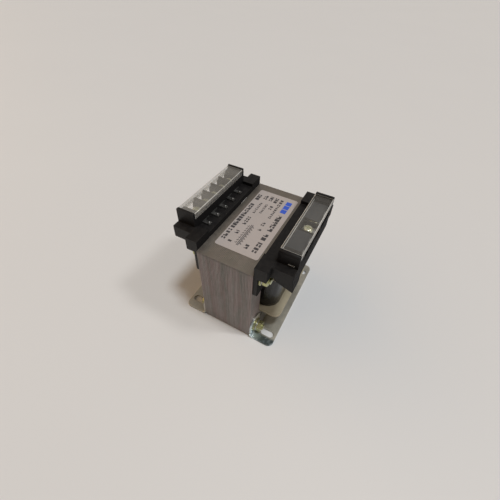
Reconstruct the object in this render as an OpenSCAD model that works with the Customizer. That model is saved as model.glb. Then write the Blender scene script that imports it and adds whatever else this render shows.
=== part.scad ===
// Laminated chassis transformer: an EI-84 core that stands on two slotted feet, with one
// wound bobbin and a screw terminal block on each long side.
// X runs across the stack of sheets, Y along the core and Z up. The origin is on the
// mounting surface, in the middle of the part. The primary side is at -X.

/* [Core] */
// Length of the core along Y
core_length = 84; // [80:0.5:88]
// Thickness of the stack of sheets along X
stack_thick = 38; // [34:0.5:42]
// Width of the centre leg, which sets every width in the sheet
tongue = 28; // [26:0.5:28]
// Height of the core's underside above the mounting surface
core_lift = 1; // [0.5:0.1:1.2]
// Spacing of the visible lines between the sheets
sheet_pitch = 1; // [0.8:0.1:2]
// Diameter of the holes for the core bolts
bolt_hole_d = 4.5; // [4.2:0.1:5]

/* [Feet] */
// Thickness of the bracket metal
foot_thick = 1.5; // [1.2:0.1:2]
// How far a foot reaches out from the side of the core
foot_reach = 18; // [17:0.5:19]
// How far a foot runs on past each end of the core
foot_overhang = 0.8; // [0:0.1:1.2]
// Distance between slot centres across the part
slot_pitch_x = 60; // [59:0.5:61]
// Distance between slot centres along the part
slot_pitch_y = 68; // [66:0.5:70]
// Width of a mounting slot
slot_width = 5; // [4.5:0.1:5.5]
// Length of a mounting slot, end to end
slot_length = 10; // [8:0.5:11]

/* [Winding] */
// Wall of the bobbin's tube
tube_wall = 1.2; // [1:0.1:1.5]
// Thickness of the bobbin's two flanges
flange_thick = 1.7; // [1.4:0.1:2]
// Half width of the flanges across the stack
flange_half_x = 34.4; // [33:0.1:34.4]
// Half width of the flanges along the core
flange_half_y = 27.6; // [27:0.1:27.8]
// Half width of the finished coil across the stack
coil_half_x = 29.2; // [29:0.1:31]
// Half width of the finished coil along the core
coil_half_y = 23.4; // [23.4:0.1:26]
// Build of the primary winding
primary_build = 4.6; // [4.2:0.1:4.8]
// Build of the insulation between the windings
insulation_build = 0.4; // [0.2:0.1:0.5]
// Build of the outer wrap
wrap_build = 0.6; // [0.4:0.1:0.8]

/* [Terminal blocks] */
// Number of ways in each block
ways = 5; // [3:1:5]
// Spacing of the ways
way_pitch = 9.6; // [9:0.1:9.8]
// Thickness of the barrier between two ways
barrier_thick = 1.4; // [1.2:0.1:1.8]
// Height of the floor under the terminals above the mounting surface
floor_z = 75.2; // [75:0.1:76]
// Height of the top of a cover above the mounting surface
cover_top_z = 86.6; // [86.2:0.1:87]
// Half length of a clear cover
cover_half_y = 28.8; // [28.6:0.1:29]
// Outer face of a block, measured from the middle of the part
block_face_x = 40.2; // [39.8:0.1:40.6]

/* [Label] */
// Width of the rating label
label_width = 30; // [20:0.5:32]
// Length of the rating label
label_length = 65.5; // [40:0.5:70]

/* [Hidden] */

$fn = 48;

// Sheet: every width follows from the tongue, as in a sheet cut without scrap
half_tongue = tongue / 2;
window_height = 1.5 * tongue;
half_length = core_length / 2;
half_stack = stack_thick / 2;
yoke_top = core_lift + half_tongue;
window_top = yoke_top + window_height;
core_top = window_top + half_tongue;
outer_leg_in = half_length - half_tongue;
line_width = 0.22;
line_depth = 0.16;
line_count = floor(stack_thick / sheet_pitch) - 1;
line_places = [for (i = [1 : line_count]) -half_stack + i * stack_thick / (line_count + 1)];

// Core bolts sit in the middle of the corners
bolt_y = half_length - half_tongue / 2;
lower_bolt_z = core_lift + half_tongue / 2;
upper_bolt_z = core_top - half_tongue / 2;
bolt_r = 2;
bolt_head_high = 2.8;
nut_high = 3.2;
nut_flats = 7;
washer_r = 5;
washer_thick = 0.9;
spring_washer_r = 3.8;
spring_washer_thick = 1;
bolt_end_past_nut = 1.2;

// Foot bracket
bend_r = 3;
ear_inner_y = outer_leg_in + 0.5;
ear_round_r = half_length - bolt_y;
ear_round_z = 10;
foot_corner_r = 4;
foot_half = half_length + foot_overhang;
foot_relief_y = ear_inner_y - 1;
foot_relief_x = bend_r + 0.4;

// Winding rings, from the tube outwards
tube_gap = 0.2;
tube_half_x = half_stack + tube_gap + tube_wall;
tube_half_y = half_tongue + tube_gap + tube_wall;
ring_r = 2;
coil_bottom = yoke_top + flange_thick;
coil_top = window_top - flange_thick;
flange_corner_r = 5;

// Terminal block, in distances from the middle of the part
block_wall_x = half_stack + 8.7;
ear_face_x = half_stack + 8;
wall_thick = 2.2;
shelf_thick = 4;
half_block = 30.6;
block_low_z = core_top - 8.4;
rail_z = cover_top_z - 4.4;
sill_z = floor_z + 1;
shoulder_z = cover_top_z - 1.4;
cover_wall = 1.2;
chamber_half_y = ways * way_pitch / 2 + barrier_thick / 2;
lug_end_y = 36.2;
lug_low_z = core_top - 1.8;
lug_high_z = floor_z + 2;
ear_end_y = half_length - 0.7;
ear_top_z = floor_z + 2.4;
leg_thick = 2.6;
leg_low_z = 50.5;
leg_inner_y = 29.5;
hook_low_z = 55.5;
end_low_z = 60;
hook_inner_y = 20;
latch_x = block_face_x - 2.6;
latch_width = 4.4;
latch_thick = 1;
latch_low_z = cover_top_z - 6.2;

// Terminals
strip_thick = 1;
strip_width = 7;
strip_out_x = block_face_x - 2.4;
screw_x = block_face_x - 6.2;
tag_offset = 2.2;
plate_size = 7.4;
plate_thick = 1;
screw_head_r = 3;
screw_head_high = 2.4;
screw_r = 1.6;
screw_hole_deep = 9;
tag_width = 2.6;
wire_r = 0.5;
sleeve_r = 0.95;
solder_r = 1.1;
primary_lead_x = block_wall_x - 4.4;
secondary_lead_x = block_wall_x - 1.3;
way_places = [for (i = [0 : ways - 1]) (i - (ways - 1) / 2) * way_pitch];
barrier_places = [for (i = [0 : ways]) (i - ways / 2) * way_pitch];

label_centre = [0.9, 2];
label_thick = 0.15;
marker_thick = 0.8;
label_corner_r = 1.6;

core_grey = [0.44, 0.40, 0.36];
block_black = [0.11, 0.11, 0.12];
zinc = [0.75, 0.77, 0.78];
yellow_zinc = [0.72, 0.69, 0.42];
ivory = [0.80, 0.76, 0.64];
copper = [0.72, 0.42, 0.22];
tin = [0.82, 0.81, 0.78];
clear_grey = [0.80, 0.81, 0.82, 0.45];

// ---- Shared shapes ----

// Rectangle with round corners, made of exact squares and arcs
module round_rect(half_x, half_y, r) {
    square([2 * half_x, 2 * (half_y - r)], center = true);
    square([2 * (half_x - r), 2 * half_y], center = true);
    for (sx = [-1, 1], sy = [-1, 1]) translate([sx * (half_x - r), sy * (half_y - r)]) circle(r);
}

// Slot with round ends, lying along the first axis
module slot_outline(length, width) {
    square([length - width, width], center = true);
    for (s = [-1, 1]) translate([s * (length - width) / 2, 0]) circle(width / 2);
}

// Sweeps an outline drawn in Y and Z from x0 to x1
module along_x(x0, x1) {
    translate([x0, 0, 0]) rotate([90, 0, 90]) linear_extrude(x1 - x0) children();
}

// Sweeps an outline drawn in X and Z from y0 to y1
module along_y(y0, y1) {
    translate([0, y1, 0]) rotate([90, 0, 0]) linear_extrude(y1 - y0) children();
}

// Round bar that lies along X
module bar_x(x0, x1, r) {
    translate([x0, 0, 0]) rotate([0, 90, 0]) cylinder(h = x1 - x0, r = r);
}

// Turns a piece drawn for the secondary side to the primary side: both blocks are one moulding
module on_primary_side() {
    rotate(180) children();
}

// Places children on the axes of the four core bolts
module at_bolts(heights) {
    for (y = [-bolt_y, bolt_y], z = heights) translate([0, y, z]) children();
}

// ---- Core ----

// Outline of the E sheet, standing on its yoke
module e_sheet() {
    difference() {
        translate([-half_length, core_lift]) square([core_length, window_top - core_lift]);
        for (s = [-1, 1]) {
            translate([s * (half_tongue + outer_leg_in) / 2 - half_tongue / 2, yoke_top])
                square([half_tongue, window_height + 1]);
        }
    }
}

// Fine notch at one line between sheets
function notch(x, edge) = [
    [x - line_width / 2, -edge], [x - line_width / 2, line_depth - edge],
    [x + line_width / 2, line_depth - edge], [x + line_width / 2, -edge]
];

// Section of the stack with a notch at each line between sheets, in both long edges
module notched_plan(edge) {
    near = [for (x = line_places) each notch(x, edge)];
    far = [for (p = near) -p];
    polygon(concat([[-half_stack, -edge]], near, [[half_stack, -edge], [half_stack, edge]], far, [[-half_stack, edge]]));
}

module bolt_holes(heights) {
    at_bolts(heights) bar_x(-half_stack - 1, half_stack + 1, bolt_hole_d / 2);
}

module e_laminations() {
    color(core_grey) difference() {
        intersection() {
            along_x(-half_stack, half_stack) e_sheet();
            linear_extrude(window_top) notched_plan(half_length);
            along_y(-half_length, half_length) translate([0, core_lift + half_length]) notched_plan(half_length);
        }
        bolt_holes([lower_bolt_z]);
    }
}

module i_laminations() {
    color(core_grey) difference() {
        intersection() {
            translate([0, 0, window_top]) linear_extrude(half_tongue) notched_plan(half_length);
            along_y(-half_length, half_length) translate([0, core_top - half_length]) notched_plan(half_length);
        }
        bolt_holes([upper_bolt_z]);
    }
}

// ---- Coil ----

// One ring of the coil between two rounded outlines
module coil_ring(in_x, in_y, in_r, out_x, out_y, out_r) {
    translate([0, 0, coil_bottom]) linear_extrude(coil_top - coil_bottom) difference() {
        round_rect(out_x, out_y, out_r);
        round_rect(in_x, in_y, in_r);
    }
}

wrap_in_x = coil_half_x - wrap_build;
wrap_in_y = coil_half_y - wrap_build;
wrap_r = 10;
primary_x = tube_half_x + primary_build;
primary_y = tube_half_y + primary_build;
primary_r = ring_r + primary_build;
barrier_x = primary_x + insulation_build;
barrier_y = primary_y + insulation_build;
barrier_r = primary_r + insulation_build;

// Puts children on each lead of one block, at the way's solder tag
module at_leads(lead_x) {
    for (y = way_places) translate([lead_x, y + tag_offset, 0]) children();
}

// Holes in the top flange that the leads come up through
module lead_holes() {
    on_primary_side() at_leads(primary_lead_x) lead_hole();
    at_leads(secondary_lead_x) lead_hole();
}

module lead_hole() {
    translate([0, 0, coil_top - 1]) cylinder(h = flange_thick + 2, r = sleeve_r);
}

module bobbin() {
    color(ivory) difference() {
        union() {
            for (z = [yoke_top, coil_top]) translate([0, 0, z]) linear_extrude(flange_thick)
                round_rect(flange_half_x, flange_half_y, flange_corner_r);
            translate([0, 0, yoke_top]) linear_extrude(window_height) round_rect(tube_half_x, tube_half_y, ring_r);
        }
        translate([-half_stack - tube_gap, -half_tongue - tube_gap, yoke_top - 1])
            cube([stack_thick + 2 * tube_gap, tongue + 2 * tube_gap, window_height + 2]);
        lead_holes();
    }
}

module primary_winding() {
    color(copper) coil_ring(tube_half_x, tube_half_y, ring_r, primary_x, primary_y, primary_r);
}

module interwinding_insulation() {
    color([0.86, 0.80, 0.45]) coil_ring(primary_x, primary_y, primary_r, barrier_x, barrier_y, barrier_r);
}

module secondary_winding() {
    color(copper) coil_ring(barrier_x, barrier_y, barrier_r, wrap_in_x, wrap_in_y, wrap_r - wrap_build);
}

module outer_wrap() {
    color([0.10, 0.09, 0.09]) coil_ring(wrap_in_x, wrap_in_y, wrap_r - wrap_build, coil_half_x, coil_half_y, wrap_r);
}

// ---- Feet ----

// Section of the bent strip, with its corner at the foot of the core's side
module bracket_section(high) {
    difference() {
        intersection() {
            translate([bend_r, bend_r]) circle(bend_r);
            square([bend_r, bend_r]);
        }
        translate([bend_r, bend_r]) circle(bend_r - foot_thick);
    }
    translate([bend_r, 0]) square([foot_reach - bend_r, foot_thick]);
    translate([0, bend_r]) square([foot_thick, high - bend_r]);
}

// Outline of the bracket seen from above
module bracket_plan() {
    difference() {
        union() {
            translate([0, -foot_half]) square([foot_reach - foot_corner_r, 2 * foot_half]);
            translate([0, -foot_half + foot_corner_r]) square([foot_reach, 2 * (foot_half - foot_corner_r)]);
            for (s = [-1, 1]) translate([foot_reach - foot_corner_r, s * (foot_half - foot_corner_r)])
                circle(foot_corner_r);
        }
        translate([-1, -foot_relief_y]) square([foot_relief_x + 1, 2 * foot_relief_y]);
        for (s = [-1, 1]) translate([slot_pitch_x / 2 - half_stack, s * slot_pitch_y / 2])
            slot_outline(slot_length, slot_width);
    }
}

// Outline of the bracket seen from the side, with a round-topped ear at each end
module bracket_side() {
    translate([-foot_half, 0]) square([2 * foot_half, bend_r]);
    for (s = [-1, 1]) {
        translate([s * bolt_y, ear_round_z]) circle(ear_round_r);
        translate([s * bolt_y - ear_round_r, 0]) square([2 * ear_round_r, ear_round_z]);
    }
}

module foot_bracket() {
    ear_top = ear_round_z + ear_round_r;
    difference() {
        intersection() {
            translate([half_stack, 0, 0]) along_y(-foot_half, foot_half) bracket_section(ear_top);
            translate([half_stack, 0, -1]) linear_extrude(ear_top + 2) bracket_plan();
            along_x(half_stack - 1, half_stack + foot_reach + 1) bracket_side();
        }
        at_bolts([lower_bolt_z]) bar_x(half_stack - 1, half_stack + foot_thick + 1, bolt_hole_d / 2);
    }
}

module primary_foot_bracket() {
    color(zinc) on_primary_side() foot_bracket();
}

module secondary_foot_bracket() {
    color(zinc) foot_bracket();
}

// ---- Fasteners of the core ----

// What a bolt clamps on each side of the core: the foot below, the block's leg above
lower_seat_x = half_stack + foot_thick;
upper_seat_x = half_stack + leg_thick;

// Hexagon with its corners turned down on the outer face
module hex_block(x0, high) {
    corner_r = nut_flats / sqrt(3);
    intersection() {
        translate([x0, 0, 0]) rotate([0, 90, 0]) cylinder(h = high, r = corner_r, $fn = 6);
        translate([x0, 0, 0]) rotate([0, 90, 0]) rotate_extrude()
            polygon([[0, 0], [corner_r, 0], [corner_r, high - 0.35], [corner_r - 0.6, high], [0, high]]);
    }
}

module core_bolt(seat_x) {
    head_x = -seat_x - washer_thick;
    nut_x = seat_x + washer_thick + spring_washer_thick;
    bar_x(head_x, nut_x + nut_high + bolt_end_past_nut, bolt_r);
    mirror([1, 0, 0]) hex_block(-head_x, bolt_head_high);
}

module lower_core_bolts() {
    color(yellow_zinc) at_bolts([lower_bolt_z]) core_bolt(lower_seat_x);
}

module upper_core_bolts() {
    color(yellow_zinc) at_bolts([upper_bolt_z]) core_bolt(upper_seat_x);
}

module washer(seat_x) {
    difference() {
        bar_x(seat_x, seat_x + washer_thick, washer_r);
        bar_x(seat_x - 1, seat_x + washer_thick + 1, bolt_r);
    }
}

module plain_washers() {
    color(yellow_zinc) for (place = [[lower_bolt_z, lower_seat_x], [upper_bolt_z, upper_seat_x]]) {
        at_bolts([place[0]]) washer(place[1]);
        at_bolts([place[0]]) mirror([1, 0, 0]) washer(place[1]);
    }
}

module spring_washer(seat_x) {
    x0 = seat_x + washer_thick;
    difference() {
        bar_x(x0, x0 + spring_washer_thick, spring_washer_r);
        bar_x(x0 - 1, x0 + spring_washer_thick + 1, bolt_r);
        translate([x0 - 1, -0.3, 0]) cube([spring_washer_thick + 2, 0.6, spring_washer_r + 1]);
    }
}

module spring_washers() {
    color(zinc) {
        at_bolts([lower_bolt_z]) spring_washer(lower_seat_x);
        at_bolts([upper_bolt_z]) spring_washer(upper_seat_x);
    }
}

module core_nut(seat_x) {
    x0 = seat_x + washer_thick + spring_washer_thick;
    difference() {
        hex_block(x0, nut_high);
        bar_x(x0 - 1, x0 + nut_high + 1, bolt_r);
    }
}

module core_nuts() {
    color(yellow_zinc) {
        at_bolts([lower_bolt_z]) core_nut(lower_seat_x);
        at_bolts([upper_bolt_z]) core_nut(upper_seat_x);
    }
}

// ---- Terminal blocks ----

// Section of the block: saddle on the bobbin flange, floor, inner wall and outer sill
module block_section() {
    polygon([
        [block_wall_x, window_top], [flange_half_x + 0.2, window_top],
        [flange_half_x + 0.2, block_low_z], [block_face_x, block_low_z],
        [block_face_x, sill_z], [block_face_x - 1.6, sill_z],
        [block_face_x - 1.6, floor_z], [block_wall_x + wall_thick, floor_z],
        [block_wall_x + wall_thick, rail_z], [block_wall_x, rail_z]
    ]);
}

// Section of the wall between two ways
module barrier_section() {
    translate([block_wall_x, floor_z - 1]) square([block_face_x - block_wall_x, rail_z - floor_z + 1]);
}

// Section of an end wall, with its outer top corner rounded
module end_wall_section() {
    top_z = cover_top_z + 0.4;
    r = 0.5;
    translate([block_wall_x, block_low_z]) square([block_face_x - block_wall_x, top_z - r - block_low_z]);
    translate([block_wall_x + r, block_low_z]) square([block_face_x - block_wall_x - 2 * r, top_z - block_low_z]);
    for (x = [block_wall_x + r, block_face_x - r]) translate([x, top_z - r]) circle(r);
}

// Leg that the upper core bolt passes through, seen from the side
module leg_outline() {
    r = 3;
    translate([leg_inner_y, leg_low_z + r]) square([ear_end_y - leg_inner_y, ear_top_z - 2 - leg_low_z - r]);
    translate([leg_inner_y + r, leg_low_z]) square([ear_end_y - leg_inner_y - 2 * r, 2 * r]);
    for (y = [leg_inner_y + r, ear_end_y - r]) translate([y, leg_low_z + r]) circle(r);
}

// End wall with its shoulder, lug, ear and leg, at the +Y end
module block_end() {
    along_y(cover_half_y, half_block) end_wall_section();
    along_y(chamber_half_y - 0.1, cover_half_y) {
        translate([block_wall_x + cover_wall, floor_z - 1])
            square([block_face_x - block_wall_x - 2 * cover_wall, shoulder_z - floor_z + 1]);
        barrier_section();
    }
    translate([0, 0, lug_low_z]) linear_extrude(lug_high_z - lug_low_z) lug_plan();
    translate([half_stack, cover_half_y, lug_low_z - 0.6])
        cube([ear_face_x - half_stack, ear_end_y - cover_half_y, ear_top_z - lug_low_z + 0.6]);
    along_x(half_stack, half_stack + leg_thick) leg_outline();
}

// Lug beyond the end wall, seen from above, with its outer corner rounded
module lug_plan() {
    r = 0.8;
    y0 = half_block - 1;
    translate([ear_face_x - 1, y0]) square([block_face_x - ear_face_x + 1, lug_end_y - r - y0]);
    translate([ear_face_x - 1, y0]) square([block_face_x - ear_face_x + 1 - r, lug_end_y - y0]);
    translate([block_face_x - r, lug_end_y - r]) circle(r);
}

// Hook over the edge of the bobbin flange, at the latch end only
module flange_hook() {
    x0 = flange_half_x + 0.2;
    translate([x0, -half_block, hook_low_z])
        cube([block_face_x - x0, half_block - hook_inner_y, block_low_z - hook_low_z + 1]);
}

// Space under the slanted lower edge of the latch end, beyond the flange
module end_slant() {
    along_y(-half_block - 1, -flange_half_y - 0.4) polygon([
        [block_wall_x - 3, end_low_z], [block_wall_x, end_low_z], [block_face_x, hook_low_z],
        [block_face_x + 1, hook_low_z], [block_face_x + 1, hook_low_z - 2], [block_wall_x - 3, hook_low_z - 2]
    ]);
}

module terminal_base(lead_x) {
    difference() {
        union() {
            along_y(-half_block, half_block) block_section();
            translate([half_stack, -half_block, floor_z - shelf_thick])
                cube([block_wall_x - half_stack + 0.5, 2 * half_block, shelf_thick]);
            for (y = barrier_places) along_y(y - barrier_thick / 2, y + barrier_thick / 2) barrier_section();
            block_end();
            mirror([0, 1, 0]) block_end();
            flange_hook();
        }
        for (y = way_places) {
            translate([block_wall_x - 0.5, y - strip_width / 2, floor_z])
                cube([wall_thick + 1, strip_width, strip_thick]);
            translate([screw_x, y, floor_z - screw_hole_deep]) cylinder(h = screw_hole_deep + 1, r = screw_r + 0.2);
        }
        at_leads(lead_x) translate([0, 0, floor_z - shelf_thick - 1]) cylinder(h = shelf_thick + 2, r = sleeve_r);
        at_bolts([upper_bolt_z]) bar_x(half_stack - 1, half_stack + leg_thick + 1, bolt_hole_d / 2);
        translate([half_stack, -half_block - 1, shoulder_z])
            cube([foot_reach + half_stack, half_block - cover_half_y + 1, cover_top_z]);
        end_slant();
    }
}

module primary_terminal_base() {
    color(block_black) on_primary_side() terminal_base(primary_lead_x);
}

module secondary_terminal_base() {
    color(block_black) terminal_base(secondary_lead_x);
}

// Flat strip from the clamp to the solder tag at its inner end, tapped for the screw
module contact_strips(lead_x) {
    tag_in_x = lead_x - tag_width / 2;
    difference() {
        for (y = way_places) {
            translate([block_wall_x - 0.5, y - strip_width / 2, floor_z])
                cube([strip_out_x - block_wall_x + 0.5, strip_width, strip_thick]);
            translate([tag_in_x, y + tag_offset - tag_width / 2, floor_z])
                cube([block_wall_x - tag_in_x, tag_width, strip_thick]);
        }
        for (y = way_places) translate([screw_x, y, floor_z - 1]) cylinder(h = strip_thick + 2, r = screw_r);
        at_leads(lead_x) translate([0, 0, floor_z - 1]) cylinder(h = strip_thick + 2, r = wire_r);
    }
}

module primary_contact_strips() {
    color(tin) on_primary_side() contact_strips(primary_lead_x);
}

module secondary_contact_strips() {
    color(tin) contact_strips(secondary_lead_x);
}

// Square clamp plate with two turned-up wire guards
module clamp_plates() {
    z0 = floor_z + strip_thick;
    for (y = way_places) difference() {
        union() {
            translate([screw_x - plate_size / 2, y - plate_size / 2, z0]) cube([plate_size, plate_size, plate_thick]);
            for (s = [-1, 1]) translate([screw_x - plate_size / 2, y + s * (plate_size / 2 - 0.3) - 0.3, z0])
                cube([plate_size, 0.6, plate_thick + 0.8]);
        }
        translate([screw_x, y, z0 - 1]) cylinder(h = plate_thick + 2, r = screw_r);
    }
}

module primary_clamp_plates() {
    color(zinc) on_primary_side() clamp_plates();
}

module secondary_clamp_plates() {
    color(zinc) clamp_plates();
}

// Pan head screws with a cross recess
module terminal_screws() {
    z0 = floor_z + strip_thick + plate_thick;
    for (y = way_places) translate([screw_x, y, z0]) difference() {
        union() {
            rotate_extrude() polygon([
                [0, 0], [screw_head_r, 0], [screw_head_r, screw_head_high - 0.9],
                [screw_head_r - 0.4, screw_head_high - 0.3], [screw_head_r - 1.1, screw_head_high], [0, screw_head_high]
            ]);
            translate([0, 0, -8]) cylinder(h = 8.5, r = screw_r);
        }
        for (a = [0, 90]) rotate(a) translate([-2, -0.4, screw_head_high - 1.2]) cube([4, 0.8, 2]);
    }
}

module primary_terminal_screws() {
    color(yellow_zinc) on_primary_side() terminal_screws();
}

module secondary_terminal_screws() {
    color(yellow_zinc) terminal_screws();
}

// Lead wires that rise from the coil to the solder tags
module lead_wires(lead_x) {
    at_leads(lead_x) translate([0, 0, coil_top]) cylinder(h = floor_z + strip_thick + 0.6 - coil_top, r = wire_r);
}

module primary_leads() {
    color(copper) on_primary_side() lead_wires(primary_lead_x);
}

module secondary_leads() {
    color(copper) lead_wires(secondary_lead_x);
}

module sleeves(lead_x) {
    at_leads(lead_x) translate([0, 0, coil_top]) difference() {
        cylinder(h = floor_z - coil_top, r = sleeve_r);
        translate([0, 0, -1]) cylinder(h = floor_z - coil_top + 2, r = wire_r);
    }
}

module lead_sleeves() {
    color([0.85, 0.85, 0.80]) {
        on_primary_side() sleeves(primary_lead_x);
        sleeves(secondary_lead_x);
    }
}

// Domes of solder round the end of each lead
module solder_domes(lead_x) {
    at_leads(lead_x) translate([0, 0, floor_z + strip_thick]) difference() {
        intersection() {
            sphere(solder_r);
            translate([0, 0, solder_r / 2]) cube([3 * solder_r, 3 * solder_r, solder_r], center = true);
        }
        translate([0, 0, -1]) cylinder(h = 1.6, r = wire_r);
    }
}

module solder_joints() {
    color(tin) {
        on_primary_side() solder_domes(primary_lead_x);
        solder_domes(secondary_lead_x);
    }
}

// ---- Covers and label ----

// Clear channel that rests on the rails and the end shoulders, with a latch at one end
module cover() {
    along_y(-cover_half_y, cover_half_y) difference() {
        translate([block_wall_x, rail_z]) square([block_face_x - block_wall_x, cover_top_z - rail_z]);
        translate([block_wall_x + cover_wall, rail_z - 1])
            square([block_face_x - block_wall_x - 2 * cover_wall, shoulder_z - rail_z + 1]);
    }
    translate([block_wall_x, -half_block, shoulder_z])
        cube([block_face_x - block_wall_x, half_block - cover_half_y + 0.1, cover_top_z - shoulder_z]);
    translate([latch_x - latch_width / 2, -half_block - latch_thick, shoulder_z])
        cube([latch_width, latch_thick + 0.1, cover_top_z - shoulder_z]);
    translate([latch_x - latch_width / 2, -half_block - latch_thick, latch_low_z])
        cube([latch_width, latch_thick, cover_top_z - latch_low_z]);
}

module primary_cover() {
    color(clear_grey) on_primary_side() cover();
}

module secondary_cover() {
    color(clear_grey) cover();
}

// Grey plates that lie on the barriers and hide the outer ways of the secondary block
module secondary_marker_plates() {
    inner_y = way_pitch / 2 - barrier_thick / 2;
    color([0.40, 0.41, 0.43]) for (s = [-1, 1]) translate([0, s > 0 ? inner_y : -chamber_half_y, rail_z])
        translate([block_wall_x + cover_wall, 0, 0])
            cube([block_face_x - block_wall_x - 2 * cover_wall, chamber_half_y - inner_y, marker_thick]);
}

module rating_label() {
    color([0.85, 0.82, 0.80]) translate([label_centre[0], label_centre[1], core_top])
        linear_extrude(label_thick) round_rect(label_width / 2, label_length / 2, label_corner_r);
}

e_laminations();
i_laminations();
bobbin();
primary_winding();
interwinding_insulation();
secondary_winding();
outer_wrap();
primary_foot_bracket();
secondary_foot_bracket();
lower_core_bolts();
upper_core_bolts();
plain_washers();
spring_washers();
core_nuts();
primary_terminal_base();
secondary_terminal_base();
primary_contact_strips();
secondary_contact_strips();
primary_clamp_plates();
secondary_clamp_plates();
primary_terminal_screws();
secondary_terminal_screws();
primary_leads();
secondary_leads();
lead_sleeves();
solder_joints();
primary_cover();
secondary_cover();
secondary_marker_plates();
rating_label();
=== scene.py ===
"""Dresses the laminated chassis transformer: finishes for its solids, and pieces that only show."""

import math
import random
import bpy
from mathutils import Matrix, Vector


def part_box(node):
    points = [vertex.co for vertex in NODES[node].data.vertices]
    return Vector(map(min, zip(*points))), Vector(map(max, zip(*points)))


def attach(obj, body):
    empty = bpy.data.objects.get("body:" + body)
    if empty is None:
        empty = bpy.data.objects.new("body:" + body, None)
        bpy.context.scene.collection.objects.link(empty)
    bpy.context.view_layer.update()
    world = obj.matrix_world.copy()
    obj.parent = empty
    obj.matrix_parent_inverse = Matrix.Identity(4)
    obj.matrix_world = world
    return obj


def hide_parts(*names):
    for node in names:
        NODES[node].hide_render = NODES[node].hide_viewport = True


bl_info = {
    "name": "Laminated chassis transformer",
    "version": (1, 0, 0),
    "blender": (4, 5, 0),
    "location": "View3D > Sidebar > Transformer",
    "description": "Finishes, taped coil, label print and stage for a chassis transformer",
    "category": "Object",
}

import bmesh
import bpy
from bpy.props import FloatProperty, FloatVectorProperty, IntProperty, PointerProperty
from mathutils import Matrix, Vector, noise

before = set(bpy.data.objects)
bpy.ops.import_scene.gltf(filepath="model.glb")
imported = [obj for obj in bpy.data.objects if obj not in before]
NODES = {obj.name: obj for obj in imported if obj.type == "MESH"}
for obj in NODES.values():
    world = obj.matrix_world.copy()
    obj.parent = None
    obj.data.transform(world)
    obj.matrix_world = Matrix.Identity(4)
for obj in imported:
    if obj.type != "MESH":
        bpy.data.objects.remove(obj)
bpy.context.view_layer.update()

MM = 0.001

# Coordinates closer than this are the same, and a cut takes a vertex this near to its plane
SAME = 1e-6
ON_PLANE = 1e-7

# Rubbed plating on the edges of metal pieces
RUBBED = (0.75, 0.75, 0.74)

# Each packed cover, with the side along Y where it runs over the end wall
OVERRUN_ENDS = (("primary_cover", 1.0), ("secondary_cover", -1.0))
END_WALL = 1.8 * MM


# ---- Sizes and colours a user would change ----


def colour(name, text, value):
    """A colour property with its default in linear light."""
    return FloatVectorProperty(
        name=name, description=text, subtype="COLOR", size=3, min=0.0, max=1.0, default=value
    )


def length(name, text, value):
    """A length property in metres."""
    return FloatProperty(name=name, description=text, unit="LENGTH", min=0.0, default=value)


def share(name, text, value):
    """A plain number from 0 to 1."""
    return FloatProperty(
        name=name, description=text, subtype="FACTOR", min=0.0, max=1.0, default=value
    )


def brightness(name, text, value):
    """The strength of a light."""
    return FloatProperty(name=name, description=text, min=0.0, default=value)


class CoreSettings(bpy.types.PropertyGroup):
    """Finish of the stack of sheets"""

    steel: colour("Steel", "Varnished edge of the sheets", (0.190, 0.158, 0.126))
    lying: colour("Lying faces", "Glossy varnish on the faces that lie flat", (0.365, 0.318, 0.262))
    cool: colour("Cool streaks", "Varnish with a grey cast", (0.150, 0.152, 0.146))
    warm: colour("Warm streaks", "Varnish with a purple cast", (0.215, 0.162, 0.165))
    bare: colour("Bare streaks", "Sheet edges where the varnish is thin", (0.350, 0.312, 0.310))
    sheet: length("Sheet", "Thickness of one sheet", 0.5 * MM)
    ragged: length("Ragged start", "How far the dark start of the streaks runs down", 3.0 * MM)
    top_streak: share("Top streaks", "Strength of the streaks on the faces that lie flat", 0.22)
    end_streak: share("End streaks", "Strength of the streaks on the upright faces", 0.85)


class CoilSettings(bpy.types.PropertyGroup):
    """Shape and finish of the taped coil"""

    tape: colour("Tape", "Black film tape", (0.006, 0.0055, 0.0055))
    bobbin: colour("Bobbin", "Glass-filled moulding", (0.40, 0.345, 0.245))
    copper: colour("Copper", "Enamelled wire", (0.55, 0.20, 0.07))
    wrinkle: length("Wrinkle", "Depth of the wrinkles in the tape", 0.32 * MM)
    cuts: IntProperty(
        name="Cuts", description="Divisions along each side of the coil", min=4, max=80, default=40
    )


class MetalSettings(bpy.types.PropertyGroup):
    """Finishes of feet, fasteners and terminal metal"""

    zinc: colour("Zinc", "Bright zinc plate", (0.46, 0.45, 0.41))
    # Painted reflections for the shiny strip at the secondary foot's near end, one dark and one pale
    painted_dark_reflection: colour("Painted dark reflection", "Dark clouds at the secondary foot's near end", (0.12, 0.145, 0.145))
    gleam: colour("Gleam", "Pale patch by the stack at that end", (0.60, 0.68, 0.70))
    yellow: colour("Yellow zinc", "Yellow passivated zinc plate", (0.44, 0.40, 0.17))
    tin: colour("Tin", "Tinned brass and solder", (0.085, 0.083, 0.080))
    edge: length("Edge round", "Round on the edges of small metal pieces", 0.12 * MM)
    backed_out: length("Backed out", "How far the terminal screws are turned out", 2.0 * MM)


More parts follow.
